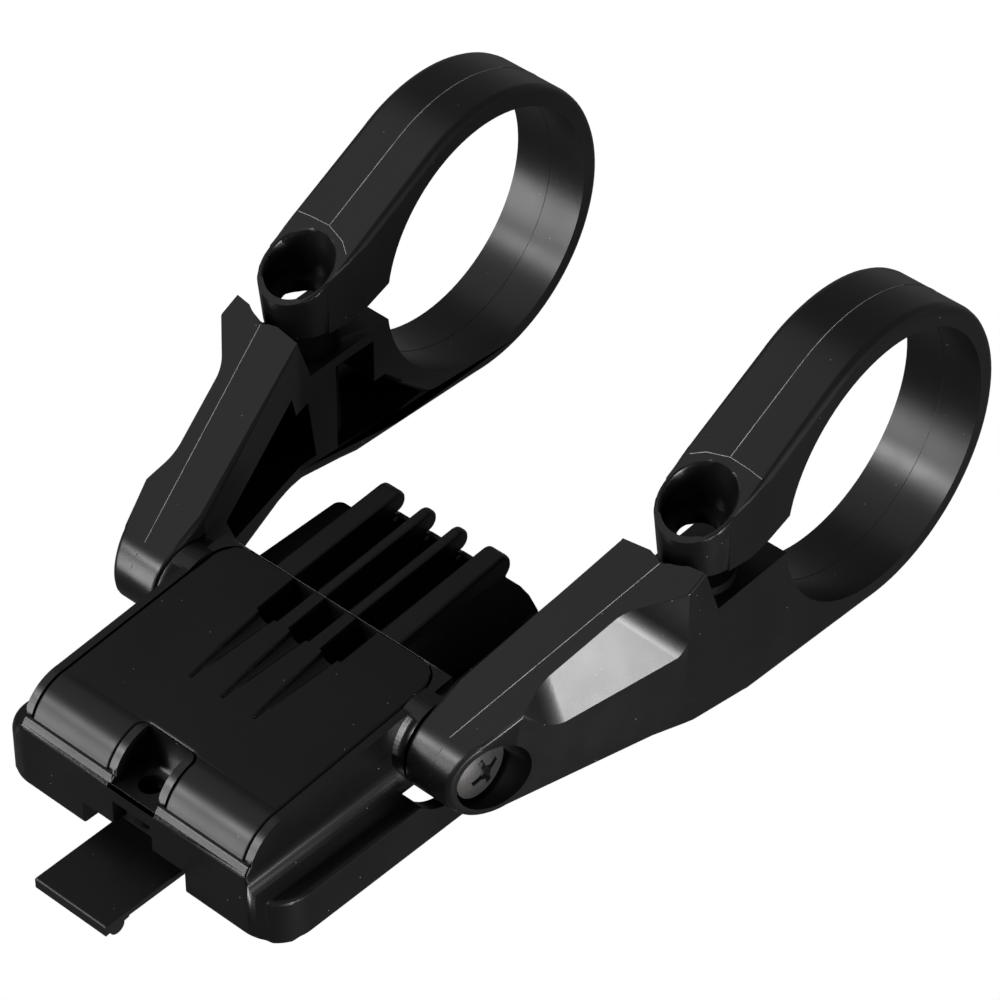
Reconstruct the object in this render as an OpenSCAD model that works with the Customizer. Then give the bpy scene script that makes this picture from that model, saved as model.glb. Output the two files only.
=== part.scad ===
// Handlebar mount for a bicycle display: a cradle on two clamp arms.
// Millimetres, +Z up, shown with the underside of the cradle uppermost.
// The origin is the middle of the handlebar axis, +X runs along the handlebar
// and -Y points from the handlebar towards the release tongue.

/* [Handlebar clamps] */
// Diameter of the handlebar
bar_d = 31.8; // [25.4:0.1:35]
// Radial clearance between the handlebar and the rings
bar_clearance = 0; // [0:0.01:0.1]
// Thickness of the ring wall
ring_wall = 2.4; // [2:0.1:4]
// Width of each ring along the handlebar
ring_w = 10; // [8:0.5:12]
// Distance between the middles of the two rings
ring_spacing = 56; // [54:0.5:64]
// Slope of the strap that runs from the ring to the clamp screw, in degrees
strap_slope = 27.8; // [24:0.1:32]
// Distance from the handlebar axis to the clamp screw
boss_reach = 24.35; // [23:0.1:27]
// Lean of the clamp screw, in degrees
boss_lean = 3; // [0:0.5:5]
// Outer radius of the screw boss at its rim
boss_r = 4.55; // [4.3:0.05:4.9]
// Length of the screw boss
boss_len = 6.8; // [6:0.1:8]
// Radius of the counterbore at the rim
counterbore_r = 3.95; // [3.6:0.05:4.1]
// Depth of the counterbore
counterbore_depth = 3.8; // [3:0.1:4.5]
// Thickness of the floor that the clamp screw's head rests on
boss_floor_t = 1.4; // [1.2:0.1:2.5]
// Diameter of the clamp screw's clearance hole
clamp_hole_d = 4.5; // [4.2:0.1:5]
// Depth of the clamping slot's lower face under the handlebar axis, at the bore
slot_drop = 1.75; // [1.5:0.05:3]

/* [Arms] */
// Distance from the handlebar axis to the pivot, along the cradle
pivot_reach = 52; // [50:0.5:60]
// Depth of the pivot under the handlebar axis
pivot_drop = 12.5; // [11:0.5:14]
// Radius of the arm's round end
arm_end_r = 5; // [4.8:0.1:5.4]
// Slope of the arm's top face, in degrees
arm_slope = 25; // [22:0.5:27]
// Distance from the cradle's side to the inner face of the arm's end
arm_inset = 2.5; // [2.2:0.1:2.8]
// Thickness of the arm's outer skin
arm_skin = 1.9; // [1.6:0.1:2.4]
// Distance of the outer hollow's front face from the mid plane, square to its lean
scoop_x = 22.3; // [22:0.1:23]
// Lean of the outer hollow, in degrees
scoop_lean = 23.3; // [22:0.5:25]
// Slope of the outer hollow's long face away from the cradle, in degrees
scoop_slope = 22.5; // [22:0.5:25]

/* [Pivot] */
// Thread diameter of the pivot screw
pivot_thread_d = 4; // [3:0.5:4]
// Radius of the pivot screw's head
pivot_head_r = 3.45; // [3.2:0.05:3.6]
// Height of the pivot screw's head
pivot_head_h = 2.2; // [1.8:0.1:2.4]
// Radius of the recess round the head
pivot_recess_r = 4.05; // [3.8:0.05:4.2]
// Number of teeth in each locking ring
tooth_count = 24; // [18:2:30]
// Height of the locking teeth
tooth_h = 0.5; // [0.4:0.05:0.6]
// Gap between the tips of facing teeth with the pivot screw slackened
tooth_gap = 0.1; // [0.1:0.05:0.3]

/* [Cradle] */
// Width of the cradle across its skirts
cradle_w = 40.8; // [40:0.2:44]
// Distance from the handlebar axis to the front face
cradle_front = 77.8; // [76:0.2:82]
// Depth of the cradle's display side under the handlebar axis
cradle_drop = 22.3; // [22:0.1:24]
// Radius of the two front corners
corner_r = 4.7; // [3:0.1:6]
// Width of each finger groove, from the skirt's outer side to the raised body
groove_w = 4.2; // [3.9:0.1:4.4]
// Radius of the finger groove where its wall meets its floor
groove_fillet_r = 2.5; // [2:0.1:3]
// Depth of the finger groove's floor under the handlebar axis
groove_floor = 16.6; // [16:0.1:17]
// Thickness of the skirts
skirt_t = 1.6; // [1.2:0.1:2]

/* [Lid] */
// Depth of the lid's rear edge under the handlebar axis
lid_drop = 7.6; // [7:0.1:8]
// Distance from the handlebar axis to the lid's rear edge
lid_rear = 48; // [47:0.5:50]
// Slope of the lid, in degrees
lid_slope = 4.9; // [3:0.1:6]
// Radius of the lid's bent front edge
lid_bend_r = 5.2; // [4.5:0.1:5.5]
// Thickness of the lid
lid_t = 1.4; // [1.2:0.1:1.8]
// Gap between the lid and its rim
lid_gap = 0.15; // [0.1:0.05:0.25]
// Thickness of the gasket under the lid
gasket_t = 0.6; // [0.4:0.1:0.8]
// Width of the notch in the middle of the lid's front edge
notch_w = 8.2; // [8:0.1:9]

/* [Cooling ribs] */
// Distance from rib to rib
rib_pitch = 4.5; // [4.3:0.1:4.8]
// Thickness of each rib
rib_t = 1.3; // [1.2:0.1:2]
// Distance from the handlebar axis to the rounded ends of the ribs
rib_end = 31; // [30.5:0.1:32]
// Depth of the valleys under the handlebar axis
valley_floor = 10.9; // [10.4:0.1:11.4]
// Length of the deep part of the valleys in the lid
valley_len = 5.6; // [4:0.2:7]
// Length of the shallow part that fades out in the lid
fade_len = 11; // [8:0.5:13]

/* [Latch] */
// Width of the tongue
tongue_w = 10.2; // [9:0.2:12]
// Length of the tongue in front of the cradle
tongue_len = 9; // [7:0.2:12]
// Thickness of the tongue
tongue_t = 0.8; // [0.7:0.1:1]
// Radius of the finger bead under the tongue's tip
bead_r = 1.6; // [1.2:0.1:2]
// Radius of the latch's hinge pin
latch_pin_r = 0.8; // [0.7:0.05:0.9]
// Running clearance round the hinge pin
pin_clearance = 0.04; // [0.02:0.01:0.08]

/* [Electronics] */
// Thickness of the circuit board
board_t = 1; // [0.8:0.1:1.6]
// Number of contact pins in each row
pin_columns = 4; // [3:1:5]
// Distance between contact pins
contact_pitch = 2.54; // [2:0.1:2.7]
// Thickness of the plate that closes the display side
plate_t = 1.3; // [1:0.1:1.6]

/* [Hidden] */
$fn = 96;

// Clearance that lets cuts pass right through a face
e = 0.5;
// Clearance between fixed pieces that are dropped into each other
seat_gap = 0.1;
// Depth to which a straight edge dips into the round that it runs into
blend = 0.03;

// Rings and screw bosses
bore_r = bar_d / 2 + bar_clearance;
ring_r = bore_r + ring_wall;
ring_x = ring_spacing / 2;
ring_in = ring_x - ring_w / 2;
ring_out = ring_x + ring_w / 2;
slot_z = -slot_drop;
// Height of the slot's lower face at the point y; it lies square to the clamp screw
function slot_floor(y) = slot_z + (y + bore_r) * tan(boss_lean);
// Height of the strap's top face over a point y in front of the handlebar axis
function strap_z(y) = (ring_r + y * sin(strap_slope)) / cos(strap_slope);
boss_z = strap_z(-boss_reach);
lobe_low = boss_z - boss_len;
insert_r = 2.5;
insert_len = 6.4;
insert_flange_r = 3.9;
insert_flange_h = 1.2;
insert_wall = 0.9;
insert_bore_r = 1.7;
// Lower end of the clamp screw's insert, under the boss rim
insert_low = (slot_floor(-boss_reach) - boss_z) * cos(boss_lean) - insert_len;

// Arms
cradle_x = cradle_w / 2;
arm_end_x = cradle_x - arm_inset;
pivot = [-pivot_reach, -pivot_drop];
arm_low = -ring_r + 0.7;
// Height of the arm's top face over a point y in front of the handlebar axis
function arm_z(y) = pivot[1] + arm_end_r / cos(arm_slope) + (y - pivot[0]) * tan(arm_slope);
notch_front = -boss_reach - 2.4;
notch_lean = 18.5;
notch_skew = 7.5;
notch_clear_r = boss_r + 1;
bend_y = -31;
arm_waist = 2.9;
scoop_bend_y = pivot[0] + 6.6;
// Slopes of the two side faces in front of the bend
outer_splay = 0.346;
inner_bend_y = bend_y + 0.9;
inner_splay = (ring_in - 0.1 - arm_end_x) / (inner_bend_y - (pivot[0] + arm_waist));
function outer_x(y) = ring_out + outer_splay * min(0, y - bend_y);
pivot_outer_x = outer_x(pivot[0]);
recess_x = pivot_outer_x - 3.4;
head_seat_x = recess_x + 0.05;

// Pivot
shank_r = pivot_thread_d / 2 - 0.05;
shank_hole_r = shank_r + 0.08;
pivot_insert_r = 2.8;
pivot_insert_len = 4.6;
tooth_in_r = 3;
// The teeth end inside a rim on the cradle's boss, which hides them
tooth_out_r = arm_end_r - 0.75;
rim_gap = 0.15;
arm_tooth_x = arm_end_x;
boss_face_x = arm_end_x - 2 * tooth_h - tooth_gap;
pivot_clear_r = arm_end_r + 1.5;

// Cradle
body_x = cradle_x - groove_w;
cradle_front_y = -cradle_front;
cradle_low = -cradle_drop;
skirt_rear = pivot[0] + 6;
island_x = arm_end_x - 5.4;
channel_x = cradle_x - skirt_t;
channel_roof = -groove_floor - 0.6;
channel_front = pivot[0] - pivot_clear_r;
deck_top = -14;
deck_x = arm_end_x - 1.6;
deck_low = channel_roof;
deck_rear = -rib_end + 0.2;
arm_down = 10;
lid_edge = [-lid_rear, -lid_drop];
lid_front_y = cradle_front_y + 0.8;
bend_start = cradle_front_y + 5.3;
function lid_z(y) = lid_edge[1] + (y - lid_edge[0]) * tan(lid_slope);
bend_c = [bend_start + lid_bend_r * sin(lid_slope), lid_z(bend_start) - lid_bend_r * cos(lid_slope)];
rim_z = bend_c[1] + 1.7;
front_edge_z = rim_z - 0.9;
lid_x = body_x - 1.1;
pocket_x = notch_w / 2 - 1.1;
pocket_rear = cradle_front_y + 5.8;
pocket_floor = -14;

// Compartment in the cradle
chamber_x = island_x - 0.8;
plate_w = 2 * (chamber_x - seat_gap);
chamber_front = cradle_front_y + 8.6;
chamber_rear = deck_rear - 5;
chamber_roof = deck_top - 0.6;
chamber_floor = cradle_low + 3.3;
// The window over the board ends in front of the lid's valleys and of the pivot inserts
window_gap = 3.7;
window_rear = min(lid_edge[0] - valley_len - 1.2, pivot[0] - pivot_insert_r) - window_gap;
plate_low = chamber_floor - plate_t;
board_z = chamber_roof - board_t - 0.8;
post_r = 2;
post_x = chamber_x - 1.8;
post_y = [chamber_front + 3, chamber_rear - 3.5];
plate_screw_r = 0.95;

// Cable inlet in the rear wall
inlet_r = 1.5;
inlet_wall = 1.1;
inlet_len = deck_rear - chamber_rear;
inlet_rim = 0.8;
inlet_z = (chamber_floor + deck_low) / 2;

// Locking screw
lock_y = cradle_front_y + 2.9;
lock_insert_r = 2.1;
lock_insert_len = 3;
lock_floor_t = 1.2;

// Contact block, in front of the middle of the board
block_y = pivot[0] - 2;
block_size = [contact_pitch * pin_columns + 3, 2 * contact_pitch + 3];
block_low = cradle_low + 0.5;
seal_t = 0.8;

// Latch
bay_x = 7.4;
bay_roof = cradle_low + 3.1;
latch_axis = [cradle_front_y + 6.2, cradle_low + 1.4];
hub_r = latch_pin_r + 0.6;
tongue_top = cradle_low + 0.5;
wire_r = 0.2;

// Extrudes an outline drawn in Y and Z along X
module along_x(x0, x1) translate([x0, 0, 0]) rotate([90, 0, 90]) linear_extrude(x1 - x0) children();

// Extrudes an outline drawn in X and Z along Y
module along_y(y0, y1) translate([0, y1, 0]) rotate([90, 0, 0]) linear_extrude(y1 - y0) children();

// Extrudes an outline drawn in X and Y upwards
module along_z(z0, z1) translate([0, 0, z0]) linear_extrude(z1 - z0) children();

// A round bar along X through a point given in Y and Z
module bar_x(c, r, x0, x1) translate([x0, c[0], c[1]]) rotate([0, 90, 0]) cylinder(r = r, h = x1 - x0);

// A rectangle with rounded corners, centred on X, from y0 to y1
module slab(w, y0, y1, r) {
    translate([-w / 2 + r, y0]) square([w - 2 * r, y1 - y0]);
    translate([-w / 2, y0 + r]) square([w, y1 - y0 - 2 * r]);
    for (x = [-w / 2 + r, w / 2 - r], y = [y0 + r, y1 - r]) translate([x, y]) circle(r);
}

// Draws the children on both sides of the mount
module both_sides() {
    children();
    mirror([1, 0, 0]) children();
}

// Places the children on the axis of the clamp screw, with z = 0 at the boss rim
module on_boss() translate([ring_x, -boss_reach, boss_z]) rotate([boss_lean, 0, 0]) children();

// Side outline of the lower link, from the ring to the round end
module link_side() {
    r = arm_end_r - blend;
    polygon([[0, -ring_r + blend], [-21, arm_low], [-29.8, arm_low + 2.2], [-34.6, arm_low + 2.2],
             [pivot[0], pivot[1] - arm_end_r + blend], pivot,
             [pivot[0] - r * sin(arm_slope), pivot[1] + r * cos(arm_slope)],
             [notch_front + 2, arm_z(notch_front + 2) - blend], [notch_front + 2, slot_z], [0, slot_z]]);
    translate(pivot) circle(arm_end_r);
}

// Plan of the arm: straight beside the ring, then leaning inwards to the pivot
module arm_plan(skin = 0) {
    end_y = pivot[0] - arm_end_r - e;
    polygon([[ring_out - skin, ring_r + e], [ring_out - skin, bend_y],
             [outer_x(end_y) - skin, end_y], [arm_end_x, end_y],
             [arm_end_x, pivot[0] + arm_waist], [ring_in - 0.1, inner_bend_y],
             [ring_in, inner_bend_y + 1], [ring_in, ring_r + e]]);
}

// Side outline of the strap between the ring and the clamp screw
module strap_side() {
    tip = -boss_reach - boss_r - 2;
    r = ring_r - blend;
    polygon([[-r * sin(strap_slope), r * cos(strap_slope)], [tip, strap_z(tip)],
             [tip, lobe_low], [-21.4, lobe_low], [-18.7, lobe_low + 0.7],
             [-bore_r + 0.2, lobe_low + 1.8], [-8, lobe_low + 4]]);
}

// The strap, drawn in to the round boss at its end
module strap() intersection() {
    along_x(ring_in, ring_out) strap_side();
    union() {
        along_z(-e, ring_r) polygon([[ring_in, 0], [ring_in, -19], [ring_x - boss_r + 0.1, -boss_reach],
            [ring_x + boss_r - 0.1, -boss_reach], [ring_out, -19], [ring_out, 0]]);
        on_boss() translate([0, 0, -boss_len - 2])
            cylinder(r1 = boss_r - 0.5, r2 = boss_r + 0.15, h = boss_len + 6);
    }
}

// The room in front of the strap and under it, where the clamp closes
module clamp_gap() intersection() {
    union() {
        intersection() {
            translate([ring_out, notch_front, slot_z]) rotate([0, 0, notch_skew]) rotate([notch_lean, 0, 0])
                translate([-30, 0, -20]) cube([60, 30, 60]);
            along_z(slot_z - 5, arm_z(notch_front + 3))
                translate([ring_in - 3, -40]) square([ring_w + 6, 28]);
        }
        intersection() {
            on_boss() translate([0, 0, -30]) cylinder(r = notch_clear_r, h = 40);
            along_z(slot_z - 5, 12) translate([ring_in - 3, -40]) square([ring_w + 6, 28]);
        }
    }
    along_x(ring_in - 4, ring_out + 4)
        polygon([[-11, slot_floor(-11)], [-41, slot_floor(-41)], [-41, 13], [-11, 13]]);
}

// Hollows on the inner face, with the ribs that stand between them
module arm_pockets() intersection() {
    pocket_top = slot_floor(-20) - 1.4;
    along_x(ring_in - 12, ring_out) {
        polygon([[-31.2, -3.4], [-30.4, -6.3], [-28.4, -5.8], [-27.4, -13.8],
                 [-43.4, -13.2], [-45.0, -9.6]]);
        polygon([[-24.1, pocket_top], [-18.2, pocket_top], [-18.2, -9], [-16.5, -9],
                 [-14.2, -12.1], [-10.4, -15.6], [-14.3, -16.1], [-24.1, -15.3]]);
    }
    along_z(-ring_r, 0) arm_plan(skin = arm_skin);
}

// The long hollow on the outer side: two leaning faces that meet in front, and an upright one behind
module scoop() intersection() {
    rotate([0, -scoop_lean, 0]) along_z(-40, 40)
        polygon([[scoop_x, pivot[0] - 25], [scoop_x, scoop_bend_y],
                 [scoop_x + 30 * tan(scoop_slope), scoop_bend_y + 30],
                 [scoop_x + 40, scoop_bend_y + 30], [scoop_x + 40, pivot[0] - 25]]);
    along_z(-ring_r, ring_r)
        polygon([[ring_out - 20, bend_y - 20.1], [ring_out + 20, bend_y + 19.9],
                 [ring_out + 20, pivot[0] - 20], [ring_out - 20, pivot[0] - 20]]);
}

// A ring of radial teeth on the face x, pointing inwards or outwards
module teeth(x, out) translate([x, pivot[0], pivot[1]]) rotate([0, out ? 90 : -90, 0])
    for (i = [0 : tooth_count - 1]) rotate(i * 360 / tooth_count) translate([tooth_in_r + 0.1, 0, 0])
        rotate([90, 0, 90]) linear_extrude(tooth_out_r - tooth_in_r - 0.1)
            polygon([[-0.36, -0.05], [0.36, -0.05], [0.08, tooth_h], [-0.08, tooth_h]]);

// One arm with its clamp ring, drawn for the right side
module arm() {
    difference() {
        union() {
            difference() {
                union() {
                    intersection() {
                        along_x(arm_end_x - 1, ring_out) link_side();
                        along_z(-ring_r - e, ring_r) arm_plan();
                    }
                    bar_x([0, 0], ring_r, ring_in, ring_out);
                    bar_x(pivot, arm_end_r - 0.1, arm_end_x, arm_end_x + 1.5);
                }
                clamp_gap();
            }
            strap();
        }
        bar_x([0, 0], bore_r, ring_in - e, ring_out + e);
        scoop();
        difference() {
            arm_pockets();
            on_boss() translate([0, 0, -boss_len - 16]) cylinder(r = insert_r + insert_wall, h = 16);
        }
        on_boss() translate([0, 0, -boss_len - 6]) cylinder(r = clamp_hole_d / 2, h = 12);
        on_boss() translate([0, 0, -counterbore_depth])
            cylinder(r1 = counterbore_r - 0.5, r2 = counterbore_r + 0.35, h = counterbore_depth + 3);
        on_boss() translate([0, 0, -boss_len - 1])
            cylinder(r = boss_r - 0.65, h = boss_len + 1 - counterbore_depth - boss_floor_t);
        clamp_insert_space();
        bar_x(pivot, pivot_recess_r, recess_x, ring_out);
        bar_x(pivot, shank_hole_r, arm_end_x - e, ring_out);
    }
    teeth(arm_tooth_x, false);
}

// Blind hole for the threaded insert in the lower link
module clamp_insert_space() on_boss() translate([0, 0, insert_low])
    cylinder(r = insert_r, h = insert_len + 4);

// Pan head screw with a cross recess, along X from the head's seat
module pivot_screw() translate([head_seat_x, pivot[0], pivot[1]]) rotate([0, 90, 0]) {
    translate([0, 0, boss_face_x - pivot_insert_len - head_seat_x]) cylinder(r = shank_r,
        h = head_seat_x - boss_face_x + pivot_insert_len + e);
    difference() {
        intersection() {
            cylinder(r = pivot_head_r, h = pivot_head_h);
            translate([0, 0, pivot_head_h - 8]) sphere(r = 8, $fn = 120);
        }
        for (a = [20, 110]) rotate(a) translate([-1.9, -0.35, pivot_head_h - 1.2]) cube([3.8, 0.7, 2]);
        translate([0, 0, pivot_head_h - 1.2]) cylinder(r = 0.85, h = 2);
    }
}

// Knurled insert with a bore, drawn along Z from 0 to len
module insert(r, bore, len) difference() {
    cylinder(r = r, h = len);
    translate([0, 0, -e]) cylinder(r = bore, h = len + 2 * e);
    translate([0, 0, len * 0.42]) difference() {
        cylinder(r = r + e, h = len * 0.16);
        cylinder(r = r - 0.3, h = len * 0.16);
    }
}

// Region under the lid's outer face, lowered by depth, as an outline in Y and Z
module under_lid(depth = 0) {
    drop = depth / cos(lid_slope);
    r = lid_bend_r - depth;
    polygon([[lid_edge[0] + 6, lid_z(lid_edge[0] + 6) - drop],
             [bend_c[0] - r * sin(lid_slope), bend_c[1] + r * cos(lid_slope)],
             [bend_c[0], bend_c[1]], [bend_c[0], cradle_low], [lid_edge[0] + 6, cradle_low]]);
    translate(bend_c) circle(r + blend);
}

// Plan of the lid, grown by gap
module lid_plan(gap = 0) difference() {
    slab(2 * (lid_x + gap), cradle_front_y - 6, lid_edge[0] - 0.1 + gap, 3);
    slab(notch_w - 2 * gap, cradle_front_y - 7, cradle_front_y + 6.1 - gap, 1.2);
}

// Valleys between the ribs: deep at the rear, fading out towards the front
module valleys() for (i = [-1 : 1]) translate([i * rib_pitch, 0, 0]) {
    w = rib_pitch - rib_t;
    low = w / 2 - 0.6;
    top = lid_z(lid_edge[0]);
    along_y(lid_edge[0] - valley_len, -rib_end - 1.2) polygon([[-low, -valley_floor], [low, -valley_floor],
        [w / 2, top], [w / 2, top + 6], [-w / 2, top + 6], [-w / 2, top]]);
    along_y(-rib_end - 2, -rib_end + 2) translate([-w / 2, -valley_floor + 1.7]) square([w, 12]);
    start = lid_edge[0] - valley_len;
    translate([0, start, lid_z(start)]) rotate([lid_slope, 0, 0]) translate([0, -fade_len, 0])
        rotate([-90, 0, 0]) cylinder(r1 = 0.05, r2 = lid_t - 0.25, h = fade_len + 0.2, $fn = 32);
}

// Outline of the cradle in X and Z, with the hollow of the finger grooves
module body_section() difference() {
    translate([-body_x - groove_fillet_r, -groove_floor - 1])
        square([2 * (body_x + groove_fillet_r), 14]);
    for (s = [-1, 1]) translate([s * (body_x + groove_fillet_r), -groove_floor + groove_fillet_r]) {
        circle(groove_fillet_r);
        translate([s > 0 ? -groove_fillet_r : -groove_fillet_r - e, 0])
            square([2 * groove_fillet_r + e, 20]);
    }
}

// Raised body between the finger grooves, with its sloping top and bent front
module raised_body() intersection() {
    along_y(cradle_front_y, lid_edge[0] + 0.1) body_section();
    along_z(cradle_low, 0) slab(cradle_w, cradle_front_y, lid_edge[0] + 10, corner_r);
    along_x(-cradle_x, cradle_x) union() {
        under_lid();
        polygon([[bend_c[0], rim_z], [cradle_front_y + 0.65, rim_z], [cradle_front_y, front_edge_z],
                 [cradle_front_y, cradle_low], [bend_c[0], cradle_low]]);
    }
}

// Ribbed block behind the lid
module rib_block() difference() {
    intersection() {
        along_y(lid_edge[0] - e, deck_rear) {
            rib_x = 1.5 * rib_pitch + 1.1;
            foot_x = body_x - 3.2;
            polygon([[-rib_x, 0], [-rib_x - 1.2, -8.6], [-foot_x + 0.6, -12.3], [-foot_x, deck_top - e],
                     [foot_x, deck_top - e], [foot_x - 0.6, -12.3], [rib_x + 1.2, -8.6], [rib_x, 0]]);
        }
        along_x(-body_x, body_x) {
            nose_r = 1.3;
            nose = [-rib_end - nose_r, lid_z(-rib_end - nose_r) - nose_r];
            polygon([[lid_edge[0] - e, deck_top - e], [lid_edge[0] - e, lid_z(lid_edge[0] - e)],
                     [nose[0], nose[1] + nose_r], nose, [nose[0], nose[1] - 1.2],
                     [-rib_end - 0.2, nose[1] - 2.4],
                     [deck_rear, nose[1] - 3.4], [deck_rear, deck_top - e]]);
            translate(nose) circle(nose_r);
        }
    }
    valleys();
}

// Cradle body with its compartment, grooves, skirts and pivot bosses
module housing() color([0.07, 0.07, 0.075]) {
    difference() {
        union() {
            along_z(cradle_low, -groove_floor) intersection() {
                slab(cradle_w, cradle_front_y, skirt_rear + 10, corner_r);
                translate([-cradle_x, cradle_front_y]) square([cradle_w, skirt_rear - cradle_front_y]);
            }
            raised_body();
            rib_block();
            along_z(deck_low, deck_top) slab(2 * deck_x, lid_edge[0] - 6, deck_rear, 1);
            along_z(cradle_low, deck_low + e) translate([-island_x, skirt_rear - e])
                square([2 * island_x, deck_rear - skirt_rear + e]);
            both_sides() bar_x(pivot, arm_end_r - 0.1, island_x - 1, boss_face_x);
        }
        lid_seat();
        chamber();
        front_pocket();
        latch_bay();
        both_sides() pivot_room();
        grommet_hole();
    }
    both_sides() {
        teeth(boss_face_x, true);
        difference() {
            bar_x(pivot, arm_end_r - 0.1, boss_face_x - e, arm_end_x - rim_gap);
            bar_x(pivot, tooth_out_r + rim_gap, boss_face_x - 2 * e, arm_end_x);
        }
    }
    both_sides() translate([post_x, 0, 0]) for (y = post_y) plate_post(y);
}

// Recess that takes the lid and its gasket
module lid_seat() {
    intersection() {
        along_x(-cradle_x, cradle_x) difference() {
            translate([cradle_front_y - 1, rim_z + 0.05]) square([cradle_front - lid_rear + 1.1, 10]);
            under_lid(lid_t + gasket_t);
        }
        along_z(-20, 0) lid_plan(gap = lid_gap);
    }
    along_z(-valley_floor - 1.6, 0)
        slab(2 * (body_x - 7.6), lid_edge[0] - valley_len - 1.3, lid_edge[0], 0.5);
}

// Compartment for the board, open to the display side and to the lid
module chamber() {
    along_z(cradle_low - e, chamber_roof) slab(2 * chamber_x, chamber_front, chamber_rear, 1);
    along_z(chamber_roof - e, 0) slab(2 * chamber_x, chamber_front + 1.2, window_rear, 1);
}

// Pocket for the locking screw at the front, with the slot under it
module front_pocket() {
    along_z(pocket_floor, 0) translate([-pocket_x, cradle_front_y - e])
        square([2 * pocket_x, pocket_rear - cradle_front_y + e]);
    translate([0, lock_y, -20]) cylinder(r = 1.35, h = 10);
    translate([0, lock_y, pocket_floor - lock_floor_t - lock_insert_len])
        cylinder(r = lock_insert_r, h = lock_insert_len);
    along_z(-19.6, -16) translate([-pocket_x + 0.2, cradle_front_y - e]) square([2 * pocket_x - 0.4, 1.7]);
}

// Opening under the front wall in which the latch works
module latch_bay() {
    along_z(cradle_low - e, bay_roof) translate([-bay_x, cradle_front_y - e])
        square([2 * bay_x, latch_axis[0] + hub_r + 0.5 - cradle_front_y + e]);
    bar_x(latch_axis, latch_pin_r, -bay_x - 1.5, bay_x + 1.5);
}

// Room round the arm's end, the channel behind the skirt and the insert's bore
module pivot_room() {
    bar_x(pivot, pivot_clear_r, boss_face_x - 0.1 + e, cradle_x + e);
    along_x(boss_face_x - 0.1 + e, cradle_x + e) polygon([pivot,
        [pivot[0] - pivot_clear_r * sin(arm_down), pivot[1] - pivot_clear_r * cos(arm_down)],
        [skirt_rear + e, pivot[1] - pivot_clear_r * cos(arm_down) - 7 * tan(arm_down)],
        [skirt_rear + e, pivot[1]]]);
    along_z(cradle_low - e, channel_roof) translate([island_x, channel_front])
        square([channel_x - island_x, 60]);
    bar_x(pivot, pivot_insert_r, boss_face_x - pivot_insert_len, cradle_x);
}

// Post that takes a screw of the display side's plate
module plate_post(y) translate([0, y, 0]) difference() {
    translate([0, 0, chamber_floor]) cylinder(r = post_r, h = chamber_roof - chamber_floor + 0.3);
    translate([0, 0, chamber_floor - e]) cylinder(r = plate_screw_r, h = 4.5);
}

// Hole in the rear wall for the cable inlet
module grommet_hole() translate([0, deck_rear + e, inlet_z]) rotate([90, 0, 0])
    cylinder(r = inlet_r + inlet_wall, h = 12);

// Flat lid with a bent front edge and the front ends of the valleys
module lid() color([0.06, 0.06, 0.065]) difference() {
    intersection() {
        union() {
            along_x(-lid_x, lid_x) difference() {
                under_lid();
                under_lid(lid_t);
                translate([-100, -60]) square([120, 60 + rim_z + 0.2]);
                translate([lid_edge[0] - 0.1, -40]) square([20, 60]);
            }
            along_x(-body_x + 7.8, body_x - 7.8) intersection() {
                under_lid();
                translate([lid_edge[0] - valley_len - 1.1, -valley_floor - 1.4]) square([valley_len + 1, 10]);
            }
        }
        along_z(-20, 0) lid_plan();
    }
    valleys();
}

// Flat sealing loop between the lid and the cradle
module lid_gasket() color([0.1, 0.1, 0.1]) intersection() {
    along_x(-lid_x, lid_x) difference() {
        under_lid(lid_t);
        under_lid(lid_t + gasket_t);
    }
    along_z(-20, 0) difference() {
        slab(2 * chamber_x + 3.2, chamber_front - 0.4, window_rear + 1.6, 1.5);
        slab(2 * chamber_x + 0.6, chamber_front + 0.9, window_rear + 0.3, 1);
    }
}

// Plate that closes the compartment on the display side
module display_plate() color([0.09, 0.09, 0.095]) difference() {
    along_z(plate_low, chamber_floor) slab(plate_w, chamber_front + seat_gap, chamber_rear - seat_gap, 0.9);
    along_z(plate_low - e, chamber_floor + e)
        translate([0, block_y]) slab_centred(block_size + [0.2, 0.2], 0.8);
    both_sides() for (y = post_y) translate([post_x, y, plate_low - 0.1]) {
        cylinder(r1 = 1.9, r2 = 1.1, h = 0.9);
        cylinder(r = 1.1, h = plate_t + e);
    }
}

// A rounded rectangle centred on the origin
module slab_centred(size, r) slab(size[0], -size[1] / 2, size[1] / 2, r);

// Four countersunk screws that hold the plate
module plate_screws() color([0.55, 0.56, 0.58]) both_sides()
    for (y = post_y) translate([post_x, y, plate_low]) difference() {
        union() {
            cylinder(r1 = 1.75, r2 = 0.95, h = 0.8);
            cylinder(r = plate_screw_r, h = plate_t + 3.6);
        }
        for (a = [0, 90]) rotate(a) translate([-1, -0.2, -e]) cube([2, 0.4, 0.5 + e]);
    }

// Circuit board, notched round the posts
module circuit_board() color([0.05, 0.2, 0.12]) difference() {
    along_z(board_z, board_z + board_t)
        slab(2 * chamber_x - 0.4, chamber_front + 0.3, chamber_rear - 0.3, 0.8);
    both_sides() for (y = post_y) translate([post_x, y, board_z - e])
        cylinder(r = post_r + 0.15, h = board_t + 2 * e);
    contact_places(0.5, board_z - e, board_t + 2 * e);
}

// A cylinder at the place of each contact pin
module contact_places(r, z, h) for (i = [0 : pin_columns - 1], j = [-0.5, 0.5])
    translate([(i - (pin_columns - 1) / 2) * contact_pitch, block_y + j * contact_pitch, z])
        cylinder(r = r, h = h);

// Insulating block that carries the contact pins
module contact_block() color([0.12, 0.12, 0.12]) difference() {
    along_z(block_low, board_z) translate([0, block_y]) slab_centred(block_size, 0.7);
    contact_places(0.6, block_low - e, board_z - block_low + 2 * e);
}

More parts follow.
